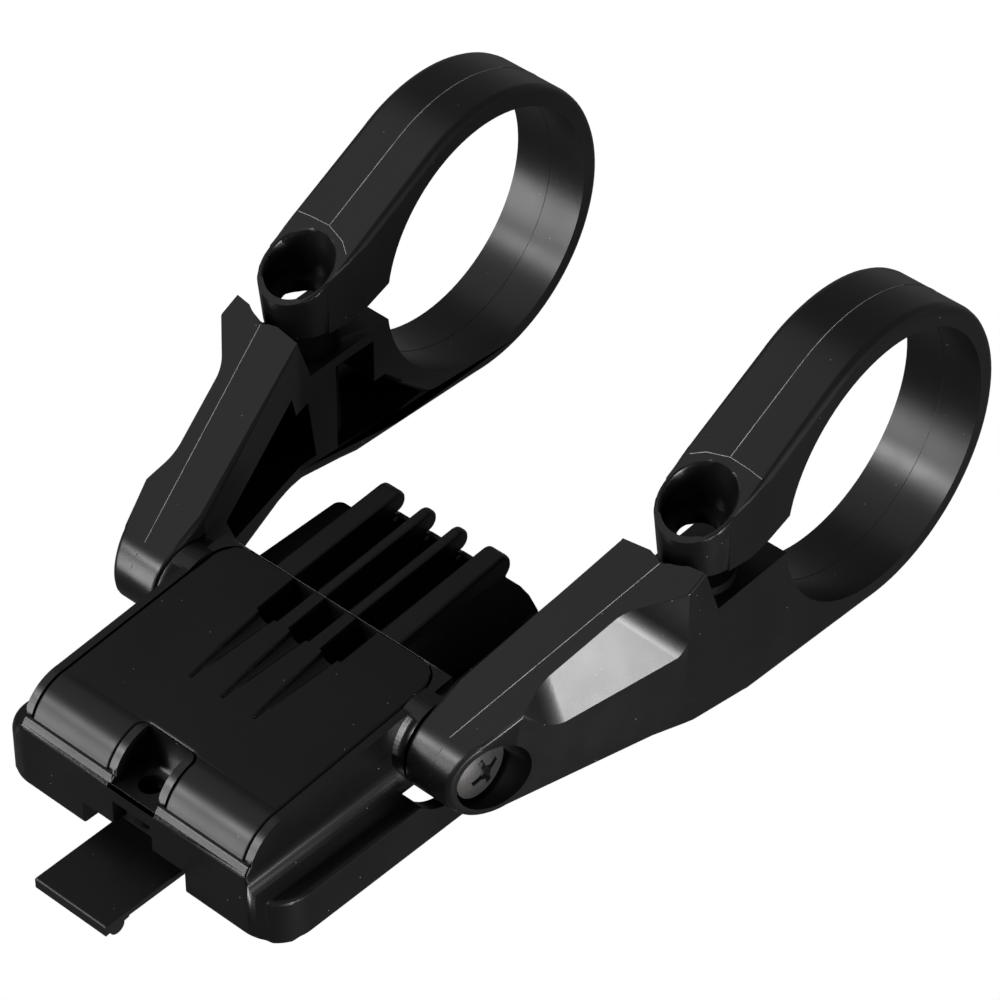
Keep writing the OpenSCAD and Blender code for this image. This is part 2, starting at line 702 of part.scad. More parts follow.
// Spring contacts, soldered in the board
module contact_pins() color([0.83, 0.68, 0.35]) {
    contact_places(0.5, block_low + 0.6, board_z + board_t + 0.4 - block_low - 0.6);
    contact_places(0.6, block_low + 1, board_z - block_low - 1);
    contact_places(0.35, block_low - 0.5, 1.2);
}

// Rubber seal round the contact block
module contact_seal() color([0.16, 0.16, 0.17])
    along_z(plate_low - seal_t, plate_low) translate([0, block_y]) difference() {
        slab_centred(block_size + [2.6, 2.6], 1.9);
        slab_centred(block_size + [0.1, 0.1], 0.75);
    }

// Rubber inlet for a cable in the rear wall
module cable_grommet() color([0.13, 0.13, 0.13])
    translate([0, deck_rear, inlet_z]) rotate([90, 0, 0]) difference() {
        union() {
            cylinder(r = inlet_r + inlet_wall, h = inlet_len);
            translate([0, 0, -inlet_rim]) cylinder(r = inlet_r + 1.6 * inlet_wall, h = inlet_rim);
        }
        translate([0, 0, -inlet_rim - e]) cylinder(r = inlet_r, h = inlet_len + inlet_rim + 2 * e);
    }

// Threaded insert for the locking screw under the front pocket
module lock_screw_insert() color([0.15, 0.15, 0.16])
    translate([0, lock_y, pocket_floor - lock_floor_t - lock_insert_len])
        insert(lock_insert_r, lock_insert_r - 1, lock_insert_len);

// Release lever: hinge hub, catch and tongue with its finger bead
module latch_lever() color([0.05, 0.05, 0.055]) {
    tip = cradle_front_y - tongue_len;
    w = tongue_w / 2;
    difference() {
        union() {
            bar_x(latch_axis, hub_r, -w, w);
            along_x(-w, w) {
                polygon([[tip, tongue_top], [tip, tongue_top - 0.5], [tip + 1.2, tongue_top - tongue_t],
                         [latch_axis[0], tongue_top - tongue_t], [latch_axis[0], tongue_top]]);
                polygon([[tip, tongue_top - 0.1], [tip, tongue_top - 1.4], [tip + 3.2, tongue_top - 1],
                         [tip + 3.6, tongue_top - 0.4]]);
                translate([tip + bead_r, tongue_top - 1.1]) circle(bead_r - 0.6);
            }
            along_x(-3, 3)
                polygon([[latch_axis[0] - 4.6, tongue_top - 0.4], [latch_axis[0] - 4.2, tongue_top - 2],
                         [latch_axis[0] - 3.4, tongue_top - 2], [latch_axis[0] - 2.4, tongue_top - 0.4]]);
        }
        bar_x(latch_axis, latch_pin_r + pin_clearance, -w - e, w + e);
    }
}

// Hinge pin of the lever, held in the cradle's side walls
module latch_pin() color([0.6, 0.61, 0.63]) bar_x(latch_axis, latch_pin_r, -bay_x - 1.3, bay_x + 1.3);

// One cross-section of the spring wire at the point p, square to the direction d
function wire_ring(p, d, sides) =
    let (u = d / norm(d), c = cross(u, [1, 0, 0]), v = c / norm(c), w = cross(u, v))
    [for (s = [0 : sides - 1]) p + wire_r * (v * cos(360 * s / sides) + w * sin(360 * s / sides))];

// Wire spring wound on the hinge pin beside the lever
module latch_spring() color([0.5, 0.51, 0.53]) {
    turns = 3.25;
    coil_r = latch_pin_r + wire_r + 0.12;
    x0 = tongue_w / 2 + 0.35;
    pitch = 0.46;
    steps = 20;
    sides = 8;
    coil = [for (k = [0 : round(turns * steps)]) let (a = 270 + 360 * k / steps)
        [x0 + pitch * k / steps, coil_r * cos(a), coil_r * sin(a)]];
    rest_z = tongue_top - latch_axis[1] + wire_r + 0.08;
    lead = [[x0 - 1.4, -3.5, rest_z], [x0 - 0.25, -3.2, rest_z], [x0, -2.7, rest_z - 0.06]];
    path = concat(lead, coil, [[x0 + pitch * turns, coil_r, bay_roof - latch_axis[1] - wire_r - 0.1]]);
    n = len(path);
    rings = [for (k = [0 : n - 1])
        wire_ring(path[k], path[min(k + 1, n - 1)] - path[max(k - 1, 0)], sides)];
    points = [for (r = rings, q = r) q];
    walls = [for (k = [0 : n - 2], s = [0 : sides - 1]) let (t = (s + 1) % sides)
        [k * sides + s, k * sides + t, (k + 1) * sides + t, (k + 1) * sides + s]];
    first = [for (s = [sides - 1 : -1 : 0]) s];
    last = [for (s = [0 : sides - 1]) (n - 1) * sides + s];
    translate([0, latch_axis[0], latch_axis[1]]) polyhedron(points, concat(walls, [first, last]));
}

module right_arm() color([0.08, 0.08, 0.085]) arm();
module left_arm() color([0.08, 0.08, 0.085]) mirror([1, 0, 0]) arm();
module right_pivot_screw() color([0.1, 0.1, 0.1]) pivot_screw();
module left_pivot_screw() color([0.1, 0.1, 0.1]) mirror([1, 0, 0]) pivot_screw();

// Insert in the cradle's pivot boss
module pivot_insert() translate([boss_face_x - pivot_insert_len, pivot[0], pivot[1]]) rotate([0, 90, 0])
    insert(pivot_insert_r, shank_r, pivot_insert_len);

module right_pivot_insert() color([0.72, 0.58, 0.3]) pivot_insert();
module left_pivot_insert() color([0.72, 0.58, 0.3]) mirror([1, 0, 0]) pivot_insert();

// Insert in the lower link, under the clamp screw
module clamp_insert() on_boss() translate([0, 0, insert_low]) {
    insert(insert_r, insert_bore_r, insert_len + 0.02);
    translate([0, 0, insert_len + 0.02]) difference() {
        cylinder(r = insert_flange_r, h = insert_flange_h);
        translate([0, 0, -e]) cylinder(r = insert_bore_r, h = insert_flange_h + 2 * e);
    }
}

module right_clamp_insert() color([0.15, 0.15, 0.16]) clamp_insert();
module left_clamp_insert() color([0.15, 0.15, 0.16]) mirror([1, 0, 0]) clamp_insert();

housing();
lid();
lid_gasket();
display_plate();
plate_screws();
circuit_board();
contact_block();
contact_pins();
contact_seal();
cable_grommet();
lock_screw_insert();
latch_lever();
latch_pin();
latch_spring();
left_arm();
right_arm();
left_pivot_screw();
right_pivot_screw();
left_pivot_insert();
right_pivot_insert();
left_clamp_insert();
right_clamp_insert();
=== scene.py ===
import math
import bmesh
import bpy
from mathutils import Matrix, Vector


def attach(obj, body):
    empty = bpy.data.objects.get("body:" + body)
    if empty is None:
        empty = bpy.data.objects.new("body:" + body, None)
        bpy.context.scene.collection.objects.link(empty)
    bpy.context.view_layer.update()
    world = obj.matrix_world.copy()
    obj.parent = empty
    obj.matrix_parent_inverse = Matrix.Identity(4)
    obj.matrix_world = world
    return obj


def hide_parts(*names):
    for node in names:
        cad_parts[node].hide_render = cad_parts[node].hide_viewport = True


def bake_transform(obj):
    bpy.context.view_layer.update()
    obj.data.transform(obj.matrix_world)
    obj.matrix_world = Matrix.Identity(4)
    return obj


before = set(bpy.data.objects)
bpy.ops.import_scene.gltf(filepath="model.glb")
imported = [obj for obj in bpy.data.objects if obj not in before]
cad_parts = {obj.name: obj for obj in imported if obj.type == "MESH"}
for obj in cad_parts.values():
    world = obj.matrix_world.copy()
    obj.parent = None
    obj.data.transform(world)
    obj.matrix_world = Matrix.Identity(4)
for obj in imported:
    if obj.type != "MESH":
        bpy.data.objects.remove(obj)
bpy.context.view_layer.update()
scene = bpy.context.scene
mm = 0.001
print("frame loaded:", len(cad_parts), "nodes")

# Camera, at the photograph's angle; place in mm
cameraSettings = {
    "place": (259.18, -305.88, 325.78), "azimuth": 42.506, "elevation": 41.148,
    "lens": 173.5, "sensor": 36, "nearest": 10,
}
cameraData = bpy.data.cameras.new("camera")
cameraData.lens = cameraSettings["lens"]
cameraData.sensor_width = cameraSettings["sensor"]
cameraData.clip_start = cameraSettings["nearest"] * mm
camera = bpy.data.objects.new("camera", cameraData)
camera.location = Vector(cameraSettings["place"]) * mm
tilt = math.radians(90 - cameraSettings["elevation"])
camera.rotation_euler = (tilt, 0, math.radians(cameraSettings["azimuth"]))
scene.collection.objects.link(camera)
scene.camera = camera
scene.view_settings.view_transform = "Standard"
print("camera placed")


def hexColour(text):  # sRGB hex to linear
    parts = [int(text[i:i + 2], 16) / 255 for i in (1, 3, 5)]
    return [c / 12.92 if c <= 0.04045 else ((c + 0.055) / 1.055) ** 2.4 for c in parts] + [1]


def addNode(tree, kind, links=(), sockets=(), **settings):  # one node with its settings and links
    made = tree.nodes.new(kind)
    for key, value in settings.items():
        setattr(made, key, value)
    for key, value in dict(sockets).items():
        made.inputs[key].default_value = value
    for key, source in dict(links).items():
        tree.links.new(source, made.inputs[key])
    return made


def newMaterial(name, sockets):
    material = bpy.data.materials.new(name)
    material.use_nodes = True
    shader = material.node_tree.nodes["Principled BSDF"]
    for key, value in sockets.items():
        shader.inputs[key].default_value = value
    return material, material.node_tree, shader


def perMm(size):  # scale of a pattern whose features are this many millimetres apart
    return 1 / (size * mm)


# Moulded plastics and rubbers: a fine spark-eroded grain, flow marks that change the gloss a little,
# and a few specks of dust. The dark base leaves most of the look to the gloss.
def mouldedMaterial(name, base, pale, rough, gloss, grainMm=0.12, grainDepthMm=0.006, flowMm=9,
                    roughDrift=0.035, dust=0.5, dustMm=1.9, dustColour="#8c8a86"):
    material, tree, shader = newMaterial(name, {"IOR": 1.5, "Specular IOR Level": gloss})
    place = addNode(tree, "ShaderNodeTexCoord").outputs["Object"]
    flow = addNode(tree, "ShaderNodeTexNoise", {"Vector": place},
                   {"Scale": perMm(flowMm), "Detail": 3.0, "Roughness": 0.55})
    grain = addNode(tree, "ShaderNodeTexNoise", {"Vector": place}, {"Scale": perMm(grainMm), "Detail": 2.0})
    specks = addNode(tree, "ShaderNodeTexVoronoi", {"Vector": place},
                     {"Scale": perMm(dustMm), "Randomness": 1.0})
    speckMask = addNode(tree, "ShaderNodeMapRange", {"Value": specks.outputs["Distance"]},
                        {"From Min": 0.028, "From Max": 0.04, "To Min": dust, "To Max": 0.0})
    tone = addNode(tree, "ShaderNodeMix", {0: flow.outputs["Fac"]}, data_type="RGBA")
    tone.inputs[6].default_value = hexColour(base)
    tone.inputs[7].default_value = hexColour(pale)
    dusty = addNode(tree, "ShaderNodeMix", {0: speckMask.outputs["Result"], 6: tone.outputs[2]},
                    data_type="RGBA")
    dusty.inputs[7].default_value = hexColour(dustColour)
    tree.links.new(dusty.outputs[2], shader.inputs["Base Color"])
    roughness = addNode(tree, "ShaderNodeMapRange", {"Value": flow.outputs["Fac"]},
                        {"From Min": 0.3, "From Max": 0.7,
                         "To Min": rough - roughDrift, "To Max": rough + roughDrift})
    tree.links.new(roughness.outputs["Result"], shader.inputs["Roughness"])
    bump = addNode(tree, "ShaderNodeBump", {"Height": grain.outputs["Fac"]},
                   {"Distance": grainDepthMm * mm, "Strength": 1.0})
    tree.links.new(bump.outputs["Normal"], shader.inputs["Normal"])
    return material


# Metals: tool or drawing marks as a stretched noise, a change of gloss along them and a faint stain
def workedMetal(name, base, stain, rough, stretch=(1, 1, 12), markMm=0.25, markDepthMm=0.004, stainMm=3,
                roughDrift=0.06, metallic=1.0):
    material, tree, shader = newMaterial(name, {"Metallic": metallic})
    place = addNode(tree, "ShaderNodeTexCoord").outputs["Object"]
    turned = addNode(tree, "ShaderNodeMapping", {"Vector": place}, {"Scale": stretch})
    marks = addNode(tree, "ShaderNodeTexNoise", {"Vector": turned.outputs["Vector"]},
                    {"Scale": perMm(markMm), "Detail": 3.0})
    stains = addNode(tree, "ShaderNodeTexNoise", {"Vector": place}, {"Scale": perMm(stainMm), "Detail": 4.0})
    tone = addNode(tree, "ShaderNodeMix", {0: stains.outputs["Fac"]}, data_type="RGBA")
    tone.inputs[6].default_value = hexColour(base)
    tone.inputs[7].default_value = hexColour(stain)
    tree.links.new(tone.outputs[2], shader.inputs["Base Color"])
    roughness = addNode(tree, "ShaderNodeMapRange", {"Value": marks.outputs["Fac"]},
                        {"From Min": 0.3, "From Max": 0.7,
                         "To Min": rough - roughDrift, "To Max": rough + roughDrift})
    tree.links.new(roughness.outputs["Result"], shader.inputs["Roughness"])
    bump = addNode(tree, "ShaderNodeBump", {"Height": marks.outputs["Fac"]},
                   {"Distance": markDepthMm * mm, "Strength": 1.0})
    tree.links.new(bump.outputs["Normal"], shader.inputs["Normal"])
    return material


# Laminate under a green solder mask: copper tracks show as slightly paler square runs
def solderMaskMaterial(trackMm=10, trackDepthMm=0.03):
    material, tree, shader = newMaterial("solderMaskGreen", {"IOR": 1.55, "Roughness": 0.3})
    place = addNode(tree, "ShaderNodeTexCoord").outputs["Object"]
    tracks = addNode(tree, "ShaderNodeTexBrick", {"Vector": place},
                     {"Scale": perMm(trackMm), "Mortar Size": 0.02, "Brick Width": 0.5, "Row Height": 0.12},
                     offset=0.35)
    tracks.inputs["Color1"].default_value = hexColour("#0f4a2c")
    tracks.inputs["Color2"].default_value = hexColour("#0d4227")
    tracks.inputs["Mortar"].default_value = hexColour("#2a7a48")
    tree.links.new(tracks.outputs["Color"], shader.inputs["Base Color"])
    bump = addNode(tree, "ShaderNodeBump", {"Height": tracks.outputs["Fac"]},
                   {"Distance": trackDepthMm * mm, "Strength": 1.0})
    tree.links.new(bump.outputs["Normal"], shader.inputs["Normal"])
    return material


# Each finish: two colours between which it drifts, roughness and, for plastics, the strength of the gloss
finishes = {
    # moulded satin black: a soft broad sheen on flats, a clear streak of the lamps in the bores
    "armNylon": mouldedMaterial("glassFilledNylonSatin", "#070708", "#0c0c0d", 0.33, 0.28, grainMm=0.14),
    "housingNylon": mouldedMaterial("glassFilledNylonFine", "#050505", "#08080a", 0.34, 0.30),
    # finer grained cover, a shade deeper than the cradle
    "lidPlastic": mouldedMaterial("polycarbonateBlendSatin", "#040405", "#070708", 0.36, 0.26,
                                  grainMm=0.1, grainDepthMm=0.004),
    # waxy black, duller than the nylon
    "leverAcetal": mouldedMaterial("acetalBlack", "#060607", "#0a0a0b", 0.45, 0.26, grainMm=0.1),
    # matt plastic with a coarse grain that can be seen
    "plateNylon": mouldedMaterial("nylonTextured", "#101011", "#161618", 0.55, 0.35,
                                  grainMm=0.3, grainDepthMm=0.02),
    # dull rubbers, softer in the light than the plastics
    "gasketSilicone": mouldedMaterial("siliconeBlack", "#131313", "#1a1a1a", 0.62, 0.3, grainMm=0.2),
    "grommetRubber": mouldedMaterial("nitrileRubberBlack", "#101010", "#171716", 0.7, 0.3,
                                     grainMm=0.25, grainDepthMm=0.01),
    "blockPolymer": mouldedMaterial("liquidCrystalPolymerBlack", "#101011", "#19191b", 0.45, 0.45,
                                    grainMm=0.4),
    # seam bead painted pale as a highlight, which comes and goes along the seam
    "seamPaintedHighlight": mouldedMaterial("mouldSeamPaintedHighlight", "#2a2a2c", "#b4b4b8", 0.6, 0.5, flowMm=1.1, dust=0),
    # blackened steel: dark grey, its tool marks drawn coarser than real ones so that they show
    "blackSteel": workedMetal("blackOxideSteel", "#38383a", "#555351", 0.5, stretch=(8, 1, 1),
                              markMm=0.5, markDepthMm=0.02, metallic=0.8),
    "insertSteel": workedMetal("blackOxideSteelTurned", "#141415", "#1e1d1c", 0.38, metallic=0.85),
    # bright metals with fine marks
    "stainless": workedMetal("stainlessSteelTurned", "#a9abae", "#8f9194", 0.28),
    "springWire": workedMetal("drawnSpringWire", "#9b9ea3", "#7f8185", 0.32, stretch=(6, 1, 1), markMm=0.12),
    "goldPlate": workedMetal("goldPlatedBrass", "#e0b765", "#c99c46", 0.22),
    "turnedBrass": workedMetal("brassTurned", "#c6a052", "#a07c3a", 0.3),
    "solderMask": solderMaskMaterial(),
}
print("materials made:", len(finishes))


def paint(obj, finish):
    obj.data.materials.clear()
    obj.data.materials.append(finishes[finish])


# CAD pieces whose shape stays as it is
for name, finish in {
    "lid_gasket": "gasketSilicone", "display_plate": "plateNylon", "plate_screws": "stainless",
    "circuit_board": "solderMask", "contact_block": "blockPolymer", "contact_pins": "goldPlate",
    "contact_seal": "gasketSilicone", "cable_grommet": "grommetRubber", "lock_screw_insert": "insertSteel",
    "latch_pin": "stainless",
    "left_pivot_screw": "blackSteel", "right_pivot_screw": "blackSteel",
    "left_pivot_insert": "turnedBrass", "right_pivot_insert": "turnedBrass",
    "left_clamp_insert": "insertSteel", "right_clamp_insert": "insertSteel",
}.items():
    paint(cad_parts[name], finish)
print("plain nodes painted")

# How the mouldings are dressed: lengths in mm, angles in degrees
dressing = {"merge": 0.002, "flat": 0.4, "shadeSharp": 20.5, "leastBend": 24}


# One kind of edge to round, inside for a hollow corner
def rounding(test, width, steps, leastBend=dressing["leastBend"], inside=False):
    return {"test": test, "width": width, "steps": steps, "leastBend": leastBend, "inside": inside}


# A copy of a CAD piece with its doubles merged and its sharp edges rounded.
# A rounding's test is given the middle of an edge in mm and the edge itself.
def roundedCopy(name, node, body, finish, roundings):
    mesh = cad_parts[node].data.copy()
    mesh.name = name
    made = bpy.data.objects.new(name, mesh)
    scene.collection.objects.link(made)
    shape = bmesh.new()
    shape.from_mesh(mesh)
    bmesh.ops.remove_doubles(shape, verts=shape.verts, dist=dressing["merge"] * mm)
    bmesh.ops.dissolve_limit(shape, angle_limit=math.radians(dressing["flat"]),
                             verts=shape.verts, edges=shape.edges)
    for each in roundings:
        chosen = []  # only edges between two faces, bent the right way and far enough
        for edge in shape.edges:
            if len(edge.link_faces) != 2 or edge.is_convex == each["inside"]:
                continue
            if math.degrees(edge.calc_face_angle()) < each["leastBend"]:
                continue
            if each["test"]((edge.verts[0].co + edge.verts[1].co) / 2 / mm, edge):
                chosen.append(edge)
        if chosen:
            bmesh.ops.bevel(shape, geom=chosen, offset=each["width"] * mm, offset_type="OFFSET",
                            segments=each["steps"], profile=0.5, affect="EDGES", clamp_overlap=False)
        print("  rounded", name, len(chosen), "edges")
    shape.to_mesh(mesh)
    shape.free()
    mesh.shade_smooth()
    mesh.set_sharp_from_angle(angle=math.radians(dressing["shadeSharp"]))
    paint(made, finish)
    weight = made.modifiers.new("faceWeighted", "WEIGHTED_NORMAL")  # flat faces stay flat beside small rounds
    weight.keep_sharp = True
    weight.weight = 100
    made.data = bpy.data.meshes.new_from_object(made.evaluated_get(bpy.context.evaluated_depsgraph_get()))
    made.modifiers.clear()
    made.data.name = name
    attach(made, body)
    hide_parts(node)


def between(value, span):
    return span[0] < value < span[1]


# Arms: places in mm from the middle of the bar, x outwards from the middle of the mount
armPlan = {
    "innerSide": 23.0, "outerSide": 33.0, "middle": 28.0,  # flat sides of the ring, and the plane of its seam
    "ringR": 18.3, "boreR": 15.9, "strapSlope": 27.8,
    "bossY": -24.35, "bossZ": 7.85, "bossLean": 3.0,  # middle of the screw boss's rim
    "pivotY": -52.0, "pivotZ": -12.5, "endR": 5.0, "topSlope": 25.0,  # round end and top of the lower link
}
# Widths of the rounds, and the limits within which their edges are found
armRounds = {
    "hollow": 1.2, "ring": 1.0, "link": 0.6, "small": 0.25,
    "onPlane": 0.05, "onTop": 0.12, "nearTop": 0.5,
    "ringInside": 0.4, "ringReach": -29.9, "strapFront": -19.5, "strapFoot": 5, "ringFront": -16,
    "linkRear": -30, "belly": -14.9, "recessRim": 4.85, "endFront": -53.5,
    "outward": 25, "hollowY": (-45.8, -31.5), "hollowFoot": -9,
    "strapEndY": (-24.2, -19), "strapEndZ": 7.6, "strapEndX": 4.3,
    "lipY": (-19.4, -15.5), "lipZ": (1.5, 3),
    "bossHigh": 2.2, "bossFoot": 6.4, "bossRear": -20.4, "bossR": 4.95,
    "topFrontY": (-54.2, -49.3), "topRearY": (-31.35, -29.6),
}


def onSide(edge):  # both ends lie on a flat side of the ring
    for v in edge.verts:
        x = abs(v.co.x / mm)
        if min(abs(x - armPlan["innerSide"]), abs(x - armPlan["outerSide"])) >= armRounds["onPlane"]:
            return False
    return True


def armTopZ(y):  # height of the sloping top face of the lower link
    slope = math.radians(armPlan["topSlope"])
    return armPlan["pivotZ"] + armPlan["endR"] / math.cos(slope) + (y - armPlan["pivotY"]) * math.tan(slope)


def ringEdge(p, edge):  # outer edge of the ring, the strap down to the boss, and the belly under the ring
    outside = math.hypot(p.y, p.z) > armPlan["ringR"] - armRounds["ringInside"]
    strap = p.y > armRounds["strapFront"] and p.z > armRounds["strapFoot"]
    reached = strap or p.y > armRounds["ringFront"] or p.z < armRounds["belly"]
    return p.y >= armRounds["ringReach"] and onSide(edge) and outside and reached


def linkEdge(p, edge):  # long edges and round end of the lower link
    inRecess = math.hypot(p.y - armPlan["pivotY"], p.z - armPlan["pivotZ"]) < armRounds["recessRim"]
    if p.y > armRounds["linkRear"] or inRecess:
        return False
    topInner = abs(p.x) < armPlan["innerSide"] and abs(p.z - armTopZ(p.y)) < armRounds["nearTop"]
    return p.z < armRounds["belly"] or p.y < armRounds["endFront"] or topInner


def hollowEdge(p, edge):  # creases between the three faces of the outer hollow
    return (abs(p.x) > armRounds["outward"] and between(p.y, armRounds["hollowY"])
            and armRounds["hollowFoot"] < p.z < armTopZ(p.y))


# Strap's end, lips of the slot, rims of the counterbore and outer edge of the link's top
def smallEdge(p, edge):
    fromMiddle = abs(p.x) - armPlan["middle"]
    strapEnd = (between(p.y, armRounds["strapEndY"]) and p.z > armRounds["strapEndZ"]
                and abs(fromMiddle) > armRounds["strapEndX"])
    lip = onSide(edge) and between(p.y, armRounds["lipY"]) and between(p.z, armRounds["lipZ"])
    rimZ = armPlan["bossZ"] - (p.y - armPlan["bossY"]) * math.tan(math.radians(armPlan["bossLean"]))
    bossRim = (abs(p.z - rimZ) < armRounds["bossHigh"] and p.z > armRounds["bossFoot"]
               and p.y < armRounds["bossRear"]
               and math.hypot(fromMiddle, p.y - armPlan["bossY"]) < armRounds["bossR"])
    topEnd = abs(p.x) > armRounds["outward"] and (between(p.y, armRounds["topFrontY"])
                                                  or between(p.y, armRounds["topRearY"]))
    if topEnd:
        topEnd = all(abs(v.co.z / mm - armTopZ(v.co.y / mm)) < armRounds["onTop"] for v in edge.verts)
    return strapEnd or lip or bossRim or topEnd


for side in ("left", "right"):
    roundedCopy(side + "_arm_moulding", side + "_arm", side + "_arm", "armNylon", [
        rounding(hollowEdge, armRounds["hollow"], steps=6, leastBend=15, inside=True),
        rounding(ringEdge, armRounds["ring"], steps=4),
        rounding(linkEdge, armRounds["link"], steps=3),
        rounding(smallEdge, armRounds["small"], steps=2)])

cradleRounds = {
    "rib": 0.42, "ribY": (-47.4, -30), "ribFoot": -10, "ribSide": 9.4,
    "skirt": 0.5, "skirtFoot": -22.25, "skirtSide": 20, "skirtFront": -77, "latchSide": 7.5,
    "lipZ": -16.6, "lipNear": 0.06, "lipSide": 18.9, "lipFront": -74,
    "rim": 0.3, "rimY": -76.9, "rimZ": (-14.6, -12.9),
}


def ribEdge(p, edge):  # crests of the ribs and the walls beside them
    return (between(p.y, cradleRounds["ribY"]) and p.z > cradleRounds["ribFoot"]
            and abs(p.x) < cradleRounds["ribSide"])


def skirtEdge(p, edge):  # foot of the cradle outside and the lip over the groove
    besideLatch = p.y < cradleRounds["skirtFront"] and abs(p.x) > cradleRounds["latchSide"]
    foot = p.z < cradleRounds["skirtFoot"] and (abs(p.x) > cradleRounds["skirtSide"] or besideLatch)
    lipHeight = abs(p.z - cradleRounds["lipZ"]) < cradleRounds["lipNear"]
    return foot or lipHeight and (abs(p.x) > cradleRounds["lipSide"] or p.y < cradleRounds["lipFront"])


def rimEdge(p, edge):  # front edge over the wall and the pocket's lips
    return p.y < cradleRounds["rimY"] and between(p.z, cradleRounds["rimZ"])


roundedCopy("housing_moulding", "housing", "cradle", "housingNylon", [
    rounding(ribEdge, cradleRounds["rib"], steps=3),
    rounding(skirtEdge, cradleRounds["skirt"], steps=3),
    rounding(rimEdge, cradleRounds["rim"], steps=2)])

lidRounds = {"rim": 0.3, "foot": -12.9, "tipSide": 9, "tipFront": -60, "rear": -49}


def lidEdge(p, edge):  # upper rim of the lid without its rear edge and the ribs' tips
    pastTips = abs(p.x) > lidRounds["tipSide"] or p.y < lidRounds["tipFront"]
    return p.z > lidRounds["foot"] and pastTips and p.y < lidRounds["rear"]


roundedCopy("lid_moulding", "lid", "cradle", "lidPlastic",
            [rounding(lidEdge, lidRounds["rim"], steps=3)])

leverRounds = {"rim": 0.2, "rear": -78, "foot": -21.9}


def tongueEdge(p, edge):  # upper edges of the release lever in front of the cradle
    return p.y < leverRounds["rear"] and p.z > leverRounds["foot"]


roundedCopy("latch_lever_moulding", "latch_lever", "latch", "leverAcetal",
            [rounding(tongueEdge, leverRounds["rim"], steps=2)])
print("mouldings dressed")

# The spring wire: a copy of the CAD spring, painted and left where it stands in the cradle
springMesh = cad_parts["latch_spring"].data.copy()
springMesh.name = "latch_spring_wire"
spring = bpy.data.objects.new("latch_spring_wire", springMesh)
scene.collection.objects.link(spring)
paint(spring, "springWire")
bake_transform(spring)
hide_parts("latch_spring")

# Mould seams: a fine bead of flash that follows a path over the moulding, made with Geometry Nodes.
# Paths in mm, turns in degrees about the bar or the pivot as (first, end, step), corners as (x, y).
seamSettings = {
    "beadR": 0.04, "sides": 6,
    "strapY": (-19.4, -16, -12), "ringTurn": (117, 64, -4),
    "rearTurn": (65, -91, -4), "boreTurn": (166, -171, -4),
    "across": ((24.0, -21.0), (25.4, -20.1), (28, -19.4), (30.5, -19.5), (32.4, -19.7)),  # over the strap
    "topRear": (28.1, -30.1), "topFront": (21.7, -54.2), "topParts": 4,  # along the link's top
    "tipTurn": (118, 262, 16), "tipInward": 0.4,
}


def seamTree():
    tree = bpy.data.node_groups.new("seamBead", "GeometryNodeTree")
    tree.interface.new_socket("Path", in_out="INPUT", socket_type="NodeSocketGeometry")
    tree.interface.new_socket("Bead radius", in_out="INPUT", socket_type="NodeSocketFloat")
    tree.interface.new_socket("Sides", in_out="INPUT", socket_type="NodeSocketInt")
    tree.interface.new_socket("Finish", in_out="INPUT", socket_type="NodeSocketMaterial")
    tree.interface.new_socket("Bead", in_out="OUTPUT", socket_type="NodeSocketGeometry")
    given = addNode(tree, "NodeGroupInput")
    profile = addNode(tree, "GeometryNodeCurvePrimitiveCircle",
                      {"Resolution": given.outputs["Sides"], "Radius": given.outputs["Bead radius"]},
                      mode="RADIUS")
    bead = addNode(tree, "GeometryNodeCurveToMesh",
                   {"Curve": given.outputs["Path"], "Profile Curve": profile.outputs["Curve"]},
                   {"Fill Caps": True})
    real = addNode(tree, "GeometryNodeRealizeInstances", {"Geometry": bead.outputs["Mesh"]})
    painted = addNode(tree, "GeometryNodeSetMaterial",
                      {"Geometry": real.outputs["Geometry"], "Material": given.outputs["Finish"]})
    addNode(tree, "NodeGroupOutput", {"Bead": painted.outputs["Geometry"]})
    return tree


beadTree = seamTree()
beadSockets = {item.name: item.identifier
               for item in beadTree.interface.items_tree if item.in_out == "INPUT"}


def seam(name, body, finish, paths):  # one piece from several open paths, in mm
    curve = bpy.data.curves.new(name + "Path", "CURVE")
    curve.dimensions = "3D"
    for points in paths:
        spline = curve.splines.new("POLY")
        spline.points.add(len(points) - 1)
        for place, target in zip(points, spline.points):
            target.co = (*[c * mm for c in place], 1)
    guide = bpy.data.objects.new(name + "Path", curve)
    scene.collection.objects.link(guide)
    maker = guide.modifiers.new("bead", "NODES")
    maker.node_group = beadTree
    maker[beadSockets["Bead radius"]] = seamSettings["beadR"] * mm
    maker[beadSockets["Sides"]] = seamSettings["sides"]
    maker[beadSockets["Finish"]] = finishes[finish]
    bpy.context.view_layer.update()
    mesh = bpy.data.meshes.new_from_object(guide.evaluated_get(bpy.context.evaluated_depsgraph_get()))
    bpy.data.objects.remove(guide)
    made = bpy.data.objects.new(name, mesh)
    mesh.name = name
    scene.collection.objects.link(made)
    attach(made, body)


